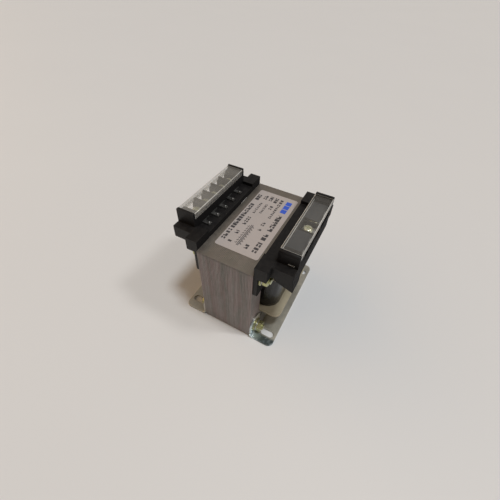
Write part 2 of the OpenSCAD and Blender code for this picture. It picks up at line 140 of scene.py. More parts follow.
class TerminalSettings(bpy.types.PropertyGroup):
    """Finishes of the terminal blocks and their covers"""

    moulding: colour("Moulding", "Black terminal moulding", (0.0058, 0.0050, 0.0054))
    cover: colour("Cover", "Haze in the top of a clear cover", (0.46, 0.44, 0.41))
    skirt: colour("Cover side", "Haze in the sides of a clear cover", (0.76, 0.73, 0.69))
    plate: colour("Plates", "Grey marker plates", (0.042, 0.045, 0.050))
    sleeve: colour("Sleeves", "Sleeves on the leads", (0.55, 0.55, 0.50))
    edge: length("Edge round", "Round on the edges of the mouldings", 0.28 * MM)
    haze: share("Haze", "How milky one face of the secondary cover's top is", 0.08)
    # Milkier top of the primary cover: partly haze, partly a painted reflection of a bright light
    haze_and_painted_reflection: share("Haze and painted reflection", "How milky one face of the primary cover's top is", 0.24)
    skirt_haze: share("Skirt haze", "How milky one face of a cover's side is", 0.38)
    cover_half: length("Cover half length", "Half the length of a clear cover", 28.8 * MM)
    cover_deep: length("Cover depth", "Depth of a cover's sides", 4.4 * MM)
    cover_wall: length("Cover wall", "Thickness of a cover's sides and top", 1.2 * MM)
    way_pitch: length("Way pitch", "Distance from way to way", 9.6 * MM)
    plate_gap: length("Plate gap", "Half the gap between the marker plates", 6.3 * MM)


class LabelSettings(bpy.types.PropertyGroup):
    """Label and its print"""

    film: colour("Film", "Label stock", (0.455, 0.405, 0.388))
    ink: colour("Ink", "Dark print", (0.035, 0.032, 0.034))
    blue: colour("Blue", "Blue field", (0.025, 0.075, 0.42))
    lift: length("Lift", "Height of the print above the label", 0.03 * MM)


class StageSettings(bpy.types.PropertyGroup):
    """Floor, light and camera"""

    floor: colour("Floor", "Pale floor", (0.715, 0.708, 0.715))
    ambient: brightness("Ambient", "Strength of the even light", 0.20)
    mirrored: brightness("Mirrored", "Strength of what glossy faces mirror", 0.30)
    key: brightness("Key", "Strength of the soft light from above", 1.38)
    side: brightness("Side", "Strength of the light from the side", 0.6)
    fill: brightness("Fill", "Strength of the warm light from the left", 1.0)
    lens: FloatProperty(
        name="Lens", description="Focal length in millimetres", min=1.0, default=20.02
    )


# ---- Node helpers ----


def add_node(tree, kind, **values):
    """Adds a node and sets its plain properties and its unlinked inputs by name."""
    node = tree.nodes.new(kind)
    for key, value in values.items():
        if hasattr(node, key):
            setattr(node, key, value)
        else:
            node.inputs[key.replace("_", " ")].default_value = value
    return node


def object_texture(tree, kind, **values):
    """Adds a texture node that reads the object's own coordinates."""
    place = tree.nodes.new("ShaderNodeTexCoord")
    texture = add_node(tree, kind, **values)
    tree.links.new(place.outputs["Object"], texture.inputs["Vector"])
    return texture


def calc(tree, operation, first, second=None, third=None, clamp=False):
    """Adds a Math node and returns its output."""
    node = tree.nodes.new("ShaderNodeMath")
    node.operation = operation
    node.use_clamp = clamp
    for socket, value in zip(node.inputs, (first, second, third)):
        if isinstance(value, bpy.types.NodeSocket):
            tree.links.new(value, socket)
        elif value is not None:
            socket.default_value = value
    return node.outputs[0]


def shade(tone, factor):
    """A colour made darker or lighter by a factor."""
    return [value * factor for value in tone]


def blend(tree, factor, first, second):
    """Adds a colour Mix node and returns its output."""
    node = tree.nodes.new("ShaderNodeMix")
    node.data_type = "RGBA"
    for name, value in (("Factor_Float", factor), ("A_Color", first), ("B_Color", second)):
        socket = next(s for s in node.inputs if s.identifier == name)
        if isinstance(value, bpy.types.NodeSocket):
            tree.links.new(value, socket)
        elif isinstance(value, (int, float)):
            socket.default_value = value
        else:
            socket.default_value = (*value[:3], 1.0)
    return next(s for s in node.outputs if s.identifier == "Result_Color")


def spread(tree, value, low, high, to_low, to_high):
    """Adds a Map Range node that clamps, and returns its output."""
    node = tree.nodes.new("ShaderNodeMapRange")
    tree.links.new(value, node.inputs["Value"])
    ends = (("From Min", low), ("From Max", high), ("To Min", to_low), ("To Max", to_high))
    for name, number in ends:
        node.inputs[name].default_value = number
    return node.outputs["Result"]


def split_axes(tree, kind, output):
    """Adds a node with a vector output, and returns that vector's X, Y and Z."""
    source = tree.nodes.new(kind)
    axes = tree.nodes.new("ShaderNodeSeparateXYZ")
    tree.links.new(source.outputs[output], axes.inputs[0])
    return axes.outputs


def new_group(name, inputs, outputs):
    """Makes a shader node group with named sockets, and returns it with its two end nodes."""
    tree = bpy.data.node_groups.new(name, "ShaderNodeTree")
    for label, kind, value in inputs:
        socket = tree.interface.new_socket(name=label, in_out="INPUT", socket_type=kind)
        socket.default_value = value
    for label in outputs:
        tree.interface.new_socket(name=label, in_out="OUTPUT", socket_type="NodeSocketFloat")
    return tree, tree.nodes.new("NodeGroupInput"), tree.nodes.new("NodeGroupOutput")


def grain_group():
    """Fine and broad unevenness, which can be drawn out along an axis."""
    tree, ins, outs = new_group(
        "grain",
        [("Scale", "NodeSocketFloat", 900.0), ("Stretch", "NodeSocketVector", (1.0, 1.0, 1.0))],
        ["Fine", "Broad"],
    )
    place = tree.nodes.new("ShaderNodeTexCoord")
    drawn = add_node(tree, "ShaderNodeVectorMath", operation="MULTIPLY")
    tree.links.new(place.outputs["Object"], drawn.inputs[0])
    tree.links.new(ins.outputs["Stretch"], drawn.inputs[1])
    for label, share_of_scale, detail in (("Fine", 1.0, 4.0), ("Broad", 0.09, 3.0)):
        cloud = add_node(tree, "ShaderNodeTexNoise", Detail=detail, Roughness=0.6)
        tree.links.new(drawn.outputs["Vector"], cloud.inputs["Vector"])
        scale = calc(tree, "MULTIPLY", ins.outputs["Scale"], share_of_scale)
        tree.links.new(scale, cloud.inputs["Scale"])
        tree.links.new(cloud.outputs["Fac"], outs.inputs[label])
    return tree


def edge_wear_and_highlight_group():
    """Mask of the edges, as wear on some pieces and as a painted highlight on others, broken up by
    noise.
    """
    tree, ins, outs = new_group(
        "edge wear and highlight",
        [("Radius", "NodeSocketFloat", 0.0004), ("Strength", "NodeSocketFloat", 3.0)],
        ["Mask"],
    )
    rounded = add_node(tree, "ShaderNodeBevel", samples=6)
    tree.links.new(ins.outputs["Radius"], rounded.inputs["Radius"])
    flat = tree.nodes.new("ShaderNodeNewGeometry")
    along = add_node(tree, "ShaderNodeVectorMath", operation="DOT_PRODUCT")
    tree.links.new(rounded.outputs["Normal"], along.inputs[0])
    tree.links.new(flat.outputs["Normal"], along.inputs[1])
    turned = calc(tree, "SUBTRACT", 1.0, along.outputs["Value"])
    cloud = object_texture(tree, "ShaderNodeTexNoise", Scale=420.0, Detail=3.0)
    broken = spread(tree, cloud.outputs["Fac"], 0.35, 0.65, 0.45, 1.0)
    strong = calc(tree, "MULTIPLY", turned, ins.outputs["Strength"])
    tree.links.new(calc(tree, "MULTIPLY", strong, broken, clamp=True), outs.inputs["Mask"])
    return tree


def dust_group():
    """Mask of the dust that lies on surfaces facing up."""
    tree, ins, outs = new_group(
        "dust",
        [("Amount", "NodeSocketFloat", 0.3), ("Scale", "NodeSocketFloat", 260.0)],
        ["Mask"],
    )
    facing = split_axes(tree, "ShaderNodeNewGeometry", "Normal")
    upward = spread(tree, facing["Z"], 0.2, 0.95, 0.0, 1.0)
    cloud = object_texture(tree, "ShaderNodeTexNoise", Detail=5.0, Roughness=0.7)
    tree.links.new(ins.outputs["Scale"], cloud.inputs["Scale"])
    patches = spread(tree, cloud.outputs["Fac"], 0.40, 0.75, 0.0, 1.0)
    lying = calc(tree, "MULTIPLY", upward, patches)
    mask = calc(tree, "MULTIPLY", lying, ins.outputs["Amount"], clamp=True)
    tree.links.new(mask, outs.inputs["Mask"])
    return tree


def sheet_stack_group():
    """Tone and height of the sheets of a stack, counted along X."""
    tree, ins, outs = new_group(
        "sheet stack",
        [("Sheet", "NodeSocketFloat", 0.0005), ("Bunch", "NodeSocketFloat", 0.0017)],
        ["Tone", "Gap"],
    )
    spot = split_axes(tree, "ShaderNodeTexCoord", "Object")
    wander = object_texture(tree, "ShaderNodeTexNoise", Scale=60.0, Detail=1.0)
    shift = calc(tree, "MULTIPLY_ADD", wander.outputs["Fac"], 0.4 * MM, spot["X"])
    count = calc(tree, "DIVIDE", shift, ins.outputs["Sheet"])
    single = add_node(tree, "ShaderNodeTexWhiteNoise", noise_dimensions="1D")
    tree.links.new(calc(tree, "FLOOR", count), single.inputs["W"])
    group = add_node(tree, "ShaderNodeTexWhiteNoise", noise_dimensions="1D")
    bunch = calc(tree, "DIVIDE", shift, ins.outputs["Bunch"])
    tree.links.new(calc(tree, "FLOOR", calc(tree, "ADD", bunch, 40.3)), group.inputs["W"])
    tone = calc(tree, "ADD", calc(tree, "MULTIPLY", single.outputs["Value"], 0.55),
                calc(tree, "MULTIPLY", group.outputs["Value"], 0.45))
    tree.links.new(tone, outs.inputs["Tone"])
    across = calc(tree, "ABSOLUTE", calc(tree, "SUBTRACT", calc(tree, "FRACT", count), 0.5))
    tree.links.new(spread(tree, across, 0.40, 0.5, 0.0, 1.0), outs.inputs["Gap"])
    return tree


def plating_group():
    """Cloudy tone and roughness of a plated surface, with fine crystal patches."""
    tree, ins, outs = new_group("plating", [("Scale", "NodeSocketFloat", 700.0)], ["Tone", "Patch"])
    cells = object_texture(tree, "ShaderNodeTexVoronoi", feature="F1")
    tree.links.new(ins.outputs["Scale"], cells.inputs["Scale"])
    axes = tree.nodes.new("ShaderNodeSeparateXYZ")
    tree.links.new(cells.outputs["Color"], axes.inputs[0])
    cloud = object_texture(tree, "ShaderNodeTexNoise", Detail=6.0, Roughness=0.65)
    tree.links.new(calc(tree, "MULTIPLY", ins.outputs["Scale"], 0.16), cloud.inputs["Scale"])
    tree.links.new(spread(tree, cloud.outputs["Fac"], 0.3, 0.7, 0.0, 1.0), outs.inputs["Tone"])
    tree.links.new(axes.outputs["X"], outs.inputs["Patch"])
    return tree


GROUP_MAKERS = {
    "grain": grain_group,
    "edge wear and highlight": edge_wear_and_highlight_group,
    "dust": dust_group,
    "sheet stack": sheet_stack_group,
    "plating": plating_group,
}


def use_group(tree, name, **values):
    """Places a shared node group in a material with its own values."""
    made = bpy.data.node_groups.get(name) or GROUP_MAKERS[name]()
    node = tree.nodes.new("ShaderNodeGroup")
    node.node_tree = made
    for key, value in values.items():
        node.inputs[key].default_value = value
    return node


def new_finish(name, roughness=0.5, metallic=0.0, **constants):
    """Makes a material, and returns it with its tree and its Principled shader."""
    material = bpy.data.materials.new(name)
    material.use_nodes = True
    tree = material.node_tree
    shader = tree.nodes["Principled BSDF"]
    shader.inputs["Roughness"].default_value = roughness
    shader.inputs["Metallic"].default_value = metallic
    for key, value in constants.items():
        shader.inputs[key.replace("_", " ")].default_value = value
    return material, tree, shader


def raise_bump(tree, shader, height, strength, distance):
    """Feeds a height to the shader's normal through a Bump node."""
    bump = add_node(tree, "ShaderNodeBump", Strength=strength, Distance=distance)
    tree.links.new(height, bump.inputs["Height"])
    tree.links.new(bump.outputs["Normal"], shader.inputs["Normal"])


def wear_and_highlight_edges(tree, tone, edge_wear_and_highlight, radius, strength, amount):
    """Blends a paler colour over the edges of a tone, and returns the result; on plated metal it
    stands for wear, on the mouldings partly for wear and partly as a painted highlight.
    """
    edges = use_group(tree, "edge wear and highlight", Radius=radius, Strength=strength)
    return blend(tree, calc(tree, "MULTIPLY", edges.outputs["Mask"], amount), tone, edge_wear_and_highlight)


def rubbed_edges(tree, tone):
    """Worn edges of a plated piece."""
    return wear_and_highlight_edges(tree, tone, RUBBED, 0.3 * MM, 2.0, 0.5)


# ---- Finishes ----


def core_finish(name, settings):
    """Varnished sheet edges: smooth brown where they lie, streaked along the sheets where upright."""
    burr_blur, contact_shade_full, contact_shade_end = 0.6 * MM, 0.4 * MM, 1.4 * MM
    upright, lies = 0.4, 0.9  # Z of a face's normal
    material, tree, shader = new_finish(name, 0.5, 0.25)
    facing = split_axes(tree, "ShaderNodeNewGeometry", "Normal")
    spot = split_axes(tree, "ShaderNodeTexCoord", "Object")
    streak = spread(tree, facing["Z"], upright, lies, settings.end_streak, settings.top_streak)
    sheets = use_group(tree, "sheet stack", Sheet=settings.sheet)
    drawn = use_group(tree, "grain", Scale=900.0, Stretch=(1.6, 0.10, 0.10))
    wide = use_group(tree, "grain", Scale=300.0, Stretch=(1.0, 0.10, 0.10))
    cloud = use_group(tree, "grain", Scale=300.0)

    # Varnish, and the sheets that show through it
    lying = settings.lying
    flat = blend(tree, cloud.outputs["Broad"], shade(lying, 0.92), shade(lying, 1.1))
    coolness = spread(tree, wide.outputs["Fine"], 0.42, 0.58, 0.0, 1.0)
    base = blend(tree, streak, flat, blend(tree, coolness, settings.warm, settings.cool))
    line = calc(tree, "ADD", calc(tree, "MULTIPLY", sheets.outputs["Tone"], 0.45),
                calc(tree, "MULTIPLY", drawn.outputs["Fine"], 0.75))
    thin = calc(tree, "MULTIPLY", spread(tree, line, 0.45, 0.85, 0.0, 1.0), streak)
    base = blend(tree, thin, base, settings.bare)
    gap_depth = calc(tree, "MULTIPLY_ADD", streak, 0.3, 0.12)
    gap = calc(tree, "MULTIPLY", sheets.outputs["Gap"], gap_depth)
    base = blend(tree, gap, base, shade(settings.steel, 0.35))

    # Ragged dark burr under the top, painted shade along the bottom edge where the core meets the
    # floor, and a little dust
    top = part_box("i_laminations")[1][2]
    ragged = calc(tree, "MULTIPLY_ADD", drawn.outputs["Fine"], settings.ragged, spot["Z"])
    burr = spread(tree, ragged, top - burr_blur, top + burr_blur, 0.0, 0.45)
    base = blend(tree, calc(tree, "MULTIPLY", burr, streak), base, shade(settings.steel, 0.45))
    # Painted shade: a dark band at the bottom stands in for the contact shadow at the floor
    contact_shade = spread(tree, spot["Z"], contact_shade_full, contact_shade_end, 0.9, 0.0)
    base = blend(tree, contact_shade, base, (0.012, 0.010, 0.009))
    dust = use_group(tree, "dust", Amount=0.12, Scale=500.0)
    base = blend(tree, dust.outputs["Mask"], base, (0.26, 0.24, 0.22))
    tree.links.new(base, shader.inputs["Base Color"])

    tree.links.new(spread(tree, facing["Z"], upright, lies, 0.25, 0.8), shader.inputs["Metallic"])
    rough = spread(tree, cloud.outputs["Fine"], 0.3, 0.7, 0.26, 0.42)
    tree.links.new(calc(tree, "MULTIPLY_ADD", streak, 0.16, rough), shader.inputs["Roughness"])
    raised = calc(tree, "MULTIPLY", sheets.outputs["Tone"], 0.6)
    height = calc(tree, "SUBTRACT", raised, sheets.outputs["Gap"])
    raise_bump(tree, shader, calc(tree, "MULTIPLY", height, streak), 0.5, 0.08 * MM)
    return material


def moulding_finish(name, base, roughness, edge_wear_and_highlight, speck=900.0, dusty=0.1, dull=0.0):
    """Moulded plastic: eroded texture, soft clouding, paler edges that are partly wear and partly a
    painted highlight, dust, and duller long sides.
    """
    material, tree, shader = new_finish(name, roughness, Specular_IOR_Level=0.24)
    grain = use_group(tree, "grain", Scale=speck)
    tone = blend(tree, grain.outputs["Broad"], shade(base, 0.82), shade(base, 1.2))
    # Paler edges: partly wear, partly a painted highlight where the edges would catch the light
    tone = wear_and_highlight_edges(tree, tone, edge_wear_and_highlight, 0.4 * MM, 2.2, 0.7)
    dust = use_group(tree, "dust", Amount=dusty, Scale=320.0)
    tone = blend(tree, dust.outputs["Mask"], tone, (0.12, 0.11, 0.10))
    tree.links.new(tone, shader.inputs["Base Color"])
    rough = spread(tree, grain.outputs["Fine"], 0.3, 0.7, roughness - 0.07, roughness + 0.09)
    facing = split_axes(tree, "ShaderNodeNewGeometry", "Normal")
    duller = spread(tree, calc(tree, "ABSOLUTE", facing["X"]), 0.5, 0.95, 0.0, dull)
    tree.links.new(calc(tree, "ADD", rough, duller, clamp=True), shader.inputs["Roughness"])
    raise_bump(tree, shader, grain.outputs["Fine"], 0.18, 0.06 * MM)
    return material


def tape_finish(name, base):
    """Glossy film tape with fine creases along the coil's height."""
    material, tree, shader = new_finish(
        name, 0.22, Specular_IOR_Level=0.30, Coat_Weight=0.12, Coat_Roughness=0.06
    )
    creases = use_group(tree, "grain", Scale=700.0, Stretch=(1.0, 1.0, 0.14))
    cloud = use_group(tree, "grain", Scale=260.0)
    tone = blend(tree, cloud.outputs["Broad"], base, shade(base, 1.9))
    tree.links.new(tone, shader.inputs["Base Color"])
    rough = spread(tree, cloud.outputs["Fine"], 0.35, 0.7, 0.10, 0.24)
    tree.links.new(rough, shader.inputs["Roughness"])
    raise_bump(tree, shader, creases.outputs["Fine"], 0.9, 0.7 * MM)
    return material


def foot_finish(name, settings):
    """Matt warm zinc plate, with a shiny strip beyond the stack that is clouded with a painted dark
    reflection and a painted pale one.
    """
    strip_start, strip_full = -34.2 * MM, -36.2 * MM
    pale_until, dark_from = 26.5 * MM, 31.5 * MM
    material, tree, shader = new_finish(name, 0.4, 0.9)
    plating = use_group(tree, "plating", Scale=420.0)
    speck = use_group(tree, "grain", Scale=1500.0)
    cloud = use_group(tree, "grain", Scale=420.0)
    spot = split_axes(tree, "ShaderNodeTexCoord", "Object")
    warm = [v * f for v, f in zip(settings.zinc, (1.05, 0.98, 0.88))]
    tone = blend(tree, plating.outputs["Tone"], settings.zinc, warm)
    patch = calc(tree, "MULTIPLY", plating.outputs["Patch"], 0.3)
    tone = blend(tree, patch, tone, shade(settings.zinc, 0.7))
    specks = spread(tree, speck.outputs["Fine"], 0.55, 0.75, 0.0, 0.35)
    tone = blend(tree, specks, tone, shade(settings.zinc, 0.5))
    wander = calc(tree, "MULTIPLY_ADD", cloud.outputs["Broad"], 4 * MM, spot["Y"])
    strip = calc(tree, "MULTIPLY", spread(tree, wander, strip_start, strip_full, 0.0, 1.0),
                 calc(tree, "GREATER_THAN", spot["X"], 0.0))
    drift = calc(tree, "MULTIPLY_ADD", cloud.outputs["Fine"], 8 * MM, spot["X"])
    pale = calc(tree, "ADD", spread(tree, drift, pale_until, dark_from, 1.0, 0.0),
                spread(tree, cloud.outputs["Fine"], 0.50, 0.72, 0.0, 0.45), clamp=True)
    # Painted reflections: the shiny strip is clouded dark, and pale by the stack
    tone = blend(tree, strip, tone, blend(tree, pale, settings.painted_dark_reflection, settings.gleam))
    tree.links.new(rubbed_edges(tree, tone), shader.inputs["Base Color"])
    rough = spread(tree, plating.outputs["Tone"], 0.0, 1.0, 0.30, 0.48)
    tree.links.new(calc(tree, "MULTIPLY_ADD", strip, -0.12, rough), shader.inputs["Roughness"])
    raise_bump(tree, shader, speck.outputs["Fine"], 0.2, 0.1 * MM)
    return material


def plated_finish(name, base, tint, scale, smoothest, roughest, metallic=0.92):
    """Plated steel: cloudy passivation, fine crystal patches and rubbed edges."""
    material, tree, shader = new_finish(name, 0.3, metallic)
    plating = use_group(tree, "plating", Scale=scale)
    grain = use_group(tree, "grain", Scale=1400.0)
    tone = blend(tree, plating.outputs["Tone"], base, tint)
    patch = calc(tree, "MULTIPLY", plating.outputs["Patch"], 0.25)
    tone = blend(tree, patch, tone, shade(base, 0.72))
    tree.links.new(rubbed_edges(tree, tone), shader.inputs["Base Color"])
    rough = spread(tree, plating.outputs["Tone"], 0.0, 1.0, smoothest, roughest)
    rough = calc(tree, "ADD", rough, calc(tree, "MULTIPLY", plating.outputs["Patch"], 0.08))
    tree.links.new(rough, shader.inputs["Roughness"])
    raise_bump(tree, shader, grain.outputs["Broad"], 0.12, 0.3 * MM)
    return material


def clear_finish(name, base, haze, streaked=0.0):
    """Clear moulding: see-through, cloudier in patches and where it is scratched."""
    material, tree, shader = new_finish(name, 0.12, Coat_Weight=0.6, Coat_Roughness=0.06)
    grain = use_group(tree, "grain", Scale=340.0)
    scratch = use_group(tree, "grain", Scale=1500.0, Stretch=(1.0, 0.06, 1.0))
    tone = blend(tree, grain.outputs["Broad"], shade(base, 0.9), shade(base, 1.1))
    streak = spread(tree, scratch.outputs["Fine"], 0.42, 0.62, 0.0, 1.0)
    tone = blend(tree, calc(tree, "MULTIPLY", streak, streaked), tone, shade(base, 0.35))
    tree.links.new(tone, shader.inputs["Base Color"])
    hazy = spread(tree, grain.outputs["Broad"], 0.3, 0.7, haze * 0.75, haze * 1.25)
    scratched = spread(tree, scratch.outputs["Fine"], 0.6, 0.8, 0.0, 0.08)
    tree.links.new(calc(tree, "ADD", hazy, scratched, clamp=True), shader.inputs["Alpha"])
    rough = spread(tree, scratch.outputs["Fine"], 0.4, 0.8, 0.08, 0.3)
    tree.links.new(rough, shader.inputs["Roughness"])
    return material


def film_finish(name, base):
    """Satin label stock with faint clouding and a soft orange peel."""
    material, tree, shader = new_finish(name, 0.36)
    grain = use_group(tree, "grain", Scale=800.0)
    tone = blend(tree, grain.outputs["Broad"], shade(base, 0.93), shade(base, 1.06))
    dust = use_group(tree, "dust", Amount=0.12, Scale=420.0)
    tone = blend(tree, dust.outputs["Mask"], tone, shade(base, 0.8))
    tree.links.new(tone, shader.inputs["Base Color"])
    rough = spread(tree, grain.outputs["Fine"], 0.3, 0.7, 0.30, 0.42)
    tree.links.new(rough, shader.inputs["Roughness"])
    raise_bump(tree, shader, grain.outputs["Fine"], 0.08, 0.05 * MM)
    return material


def ink_finish(name, base):
    """Printed ink with slightly uneven cover."""
    material, tree, shader = new_finish(name, 0.45)
    grain = use_group(tree, "grain", Scale=1800.0)
    cover = calc(tree, "MULTIPLY", grain.outputs["Fine"], 0.5)
    tone = blend(tree, cover, base, [v * 2.4 + 0.02 for v in base])
    tree.links.new(tone, shader.inputs["Base Color"])
    rough = spread(tree, grain.outputs["Fine"], 0.3, 0.7, 0.38, 0.52)
    tree.links.new(rough, shader.inputs["Roughness"])
    return material


# ---- Mesh helpers ----


def smooth_group():
    """Geometry group that shades smooth all edges below an angle."""
    name, limit = "smooth below angle", math.radians(36.0)
    made = bpy.data.node_groups.get(name)
    if made:
        return made
    tree = bpy.data.node_groups.new(name, "GeometryNodeTree")
    tree.interface.new_socket(name="Geometry", in_out="INPUT", socket_type="NodeSocketGeometry")
    tree.interface.new_socket(name="Geometry", in_out="OUTPUT", socket_type="NodeSocketGeometry")
    ins, outs = tree.nodes.new("NodeGroupInput"), tree.nodes.new("NodeGroupOutput")
    faces = add_node(tree, "GeometryNodeSetShadeSmooth", domain="FACE")
    edges = add_node(tree, "GeometryNodeSetShadeSmooth", domain="EDGE")
    angle = tree.nodes.new("GeometryNodeInputMeshEdgeAngle")
    below = calc(tree, "LESS_THAN", angle.outputs["Unsigned Angle"], limit)
    tree.links.new(ins.outputs["Geometry"], faces.inputs["Geometry"])
    tree.links.new(faces.outputs["Geometry"], edges.inputs["Geometry"])
    tree.links.new(below, edges.inputs["Shade Smooth"])
    tree.links.new(edges.outputs["Geometry"], outs.inputs["Geometry"])
    return tree


def soften(obj, width=0.0):
    """Joins a solid's loose triangles, rounds its edges and shades it smooth, all as modifiers."""
    weld = obj.modifiers.new("join", "WELD")
    weld.merge_threshold = 0.002 * MM
    if width:
        flat = obj.modifiers.new("flat faces", "DECIMATE")
        flat.decimate_type = "DISSOLVE"
        flat.angle_limit = math.radians(0.6)
        rounded = obj.modifiers.new("edge round", "BEVEL")
        rounded.width = width
        rounded.segments = 3
        rounded.limit_method = "ANGLE"
        rounded.angle_limit = math.radians(40.0)
        rounded.profile = 0.5
    shaded = obj.modifiers.new("smooth", "NODES")
    shaded.node_group = smooth_group()
    if width:
        even = obj.modifiers.new("even normals", "WEIGHTED_NORMAL")
        even.keep_sharp = True


def coat_nodes(names, material, width=0.0):
    """Gives packed solids their finish, and softens their edges."""
    for name in names:
        if name not in NODES:
            raise RuntimeError(f"the frame has no node {name}")
        obj = NODES[name]
        obj.data.materials.clear()
        obj.data.materials.append(material)
        soften(obj, width)


def mesh_from(name, bm):
    """Turns a bmesh into a mesh, and frees it."""
    mesh = bpy.data.meshes.new(name)
    bm.to_mesh(mesh)
    bm.free()
    return mesh


def link_object(name, data):
    """Adds an object to the scene and returns it."""
    obj = bpy.data.objects.new(name, data)
    bpy.context.collection.objects.link(obj)
    return obj


def new_piece(name, bm, materials, replaces=(), smooth=True):
    """Turns a bmesh into a piece on the root body; its faces name their finish by index."""
    bmesh.ops.recalc_face_normals(bm, faces=bm.faces)
    mesh = mesh_from(name, bm)
    for material in materials:
        mesh.materials.append(material)
    for face in mesh.polygons:
        face.use_smooth = smooth
    obj = link_object(name, mesh)
    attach(obj, "root")
    if replaces:
        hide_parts(*replaces)
    return obj


def add_block(bm, size, centre):
    """Adds a closed block and returns its vertices."""
    made = bmesh.ops.create_cube(bm, size=1.0)["verts"]
    bmesh.ops.scale(bm, vec=size, verts=made)
    bmesh.ops.translate(bm, vec=centre, verts=made)
    return made


def round_edges(bm, edges, width, segments):
    """Rounds some edges and returns the faces of the rounds."""
    return bmesh.ops.bevel(
        bm, geom=edges, offset=width, offset_type="OFFSET", affect="EDGES",
        segments=segments, profile=0.5, material=-1, clamp_overlap=True,
    )["faces"]


def rounded_block(bm, low, high, width):
    """Adds a closed block between two corners, with all its edges rounded."""
    low, high = Vector(low), Vector(high)
    made = add_block(bm, high - low, (high + low) / 2)
    round_edges(bm, list({edge for vert in made for edge in vert.link_edges}), width, 2)


def cut_across(bm, point, normal):
    """Adds edges where a plane crosses the mesh."""
    bmesh.ops.bisect_plane(bm, geom=bm.verts[:] + bm.edges[:] + bm.faces[:],
                           plane_co=point, plane_no=normal, dist=ON_PLANE)


# ---- Coil ----


def taped_coil_mesh(settings):
    """Block of tape with rounded corners, creased down its height, with a step at its free end."""
    corner, corner_segments, rows = 10 * MM, 16, 12
    tape_end, step_run, tape_thick = 6 * MM, 0.2 * MM, 0.12 * MM
    folds_across, folds_down = 260.0, 34.0
    low, high = (Vector(c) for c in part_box("outer_wrap"))
    size, middle = high - low, (high + low) / 2
    bm = bmesh.new()
    add_block(bm, size, (0.0, 0.0, 0.0))
    upright = [e for e in bm.edges if abs(e.verts[0].co.z - e.verts[1].co.z) > size.z / 2]
    round_edges(bm, upright, corner, corner_segments)
    long_edges = [e for e in bm.edges if abs(e.verts[0].co.z - e.verts[1].co.z) < SAME
                  and e.calc_length() > 1.2 * corner]
    bmesh.ops.subdivide_edges(bm, edges=long_edges, cuts=settings.cuts)
    for row in range(1, rows):
        cut_across(bm, (0, 0, size.z * (row / rows - 0.5)), (0, 0, 1))
    for offset in (0.0, step_run):
        cut_across(bm, (0, tape_end + offset, 0), (0, 1, 0))
    half_x, half_y = size.x / 2, size.y / 2
    for vert in bm.verts:
        co = vert.co
        flank = Vector((co.x / half_x, co.y / half_y, 0.0))
        if flank.length < 0.3:  # the middle of the top or the bottom
            continue
        turn = Vector((co.x * folds_across, co.y * folds_across, co.z * folds_down))
        fold = noise.fractal(turn, 0.7, 2.1, 3)
        sink = settings.wrinkle * max(0.0, min(1.0, 0.5 + 0.9 * fold))
        if co.x > 0 and co.y > tape_end + step_run / 2:
            sink += tape_thick
        inward = -flank.normalized()
        if abs(co.x) > half_x - corner and abs(co.y) < half_y - corner:
            inward = Vector((-math.copysign(1.0, co.x), 0, 0))
        elif abs(co.y) > half_y - corner and abs(co.x) < half_x - corner:
            inward = Vector((0, -math.copysign(1.0, co.y), 0))
        vert.co = co + inward * sink
    bmesh.ops.translate(bm, vec=middle, verts=bm.verts)
    return bm


# ---- Covers, end walls, barrier tops and marker plates ----


def cover_span(name):
    """X range and top height of a cover, from its packed solid."""
    low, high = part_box(name)
    return low[0], high[0], high[2]


def cover_mesh(name, settings):
    """Clear channel with rounded outer edges: finish 0 on top, 1 on the edges, where a highlight is
    painted, 2 on the sides.
    """
    edge, edge_segments = 0.4 * MM, 3
    x0, x1, top = cover_span(name)
    half, wall = settings.cover_half, settings.cover_wall
    low = top - settings.cover_deep
    section = [(x0, low), (x0, top), (x1, top), (x1, low), (x1 - wall, low),
               (x1 - wall, top - wall), (x0 + wall, top - wall), (x0 + wall, low)]
    bm = bmesh.new()
    face = bm.faces.new([bm.verts.new((x, -half, z)) for x, z in section])
    made = bmesh.ops.extrude_face_region(bm, geom=[face])["geom"]
    moved = [item for item in made if isinstance(item, bmesh.types.BMVert)]
    bmesh.ops.translate(bm, vec=(0.0, 2 * half, 0.0), verts=moved)
    bmesh.ops.recalc_face_normals(bm, faces=bm.faces)
    outer = [
        line for line in bm.edges
        if all(vert.co.x < x0 + SAME or vert.co.x > x1 - SAME for vert in line.verts)
    ]
    rounds = round_edges(bm, outer, edge, edge_segments)
    for side in bm.faces:
        side.material_index = 2 if abs(side.normal.x) > 0.9 else 0
    for side in rounds:
        side.material_index = 1
    return bm


def end_walls_mesh(settings):
    """Tops of the two end walls that the packed covers run over, in place of the covers' ends."""
    deep, edge = 1.4 * MM, 0.25 * MM
    bm = bmesh.new()
    for name, outward in OVERRUN_ENDS:
        x0, x1, top = cover_span(name)
        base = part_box(name.replace("cover", "terminal_base"))
        near, far = settings.cover_half, settings.cover_half + END_WALL
        y0, y1 = sorted((outward * near, outward * far))
        rounded_block(bm, (x0, y0, top - deep), (x1, y1, base[1][2]), edge)
    return bm


def latch_tips_mesh(settings):
    """Tips of the cover latches in the windows of the end walls."""
    from_middle, half_wide, stands_out, edge = 36.2 * MM, 2 * MM, 0.5 * MM, 0.15 * MM
    lower, upper = 8.0 * MM, 7.2 * MM
    bm = bmesh.new()
    for name, outward in OVERRUN_ENDS:
        top = cover_span(name)[2]
        middle = -outward * from_middle
        wall = settings.cover_half + END_WALL
        y0, y1 = sorted((outward * wall, outward * (wall + stands_out)))
        rounded_block(bm, (middle - half_wide, y0, top - lower),
                      (middle + half_wide, y1, top - upper), edge)
    return bm


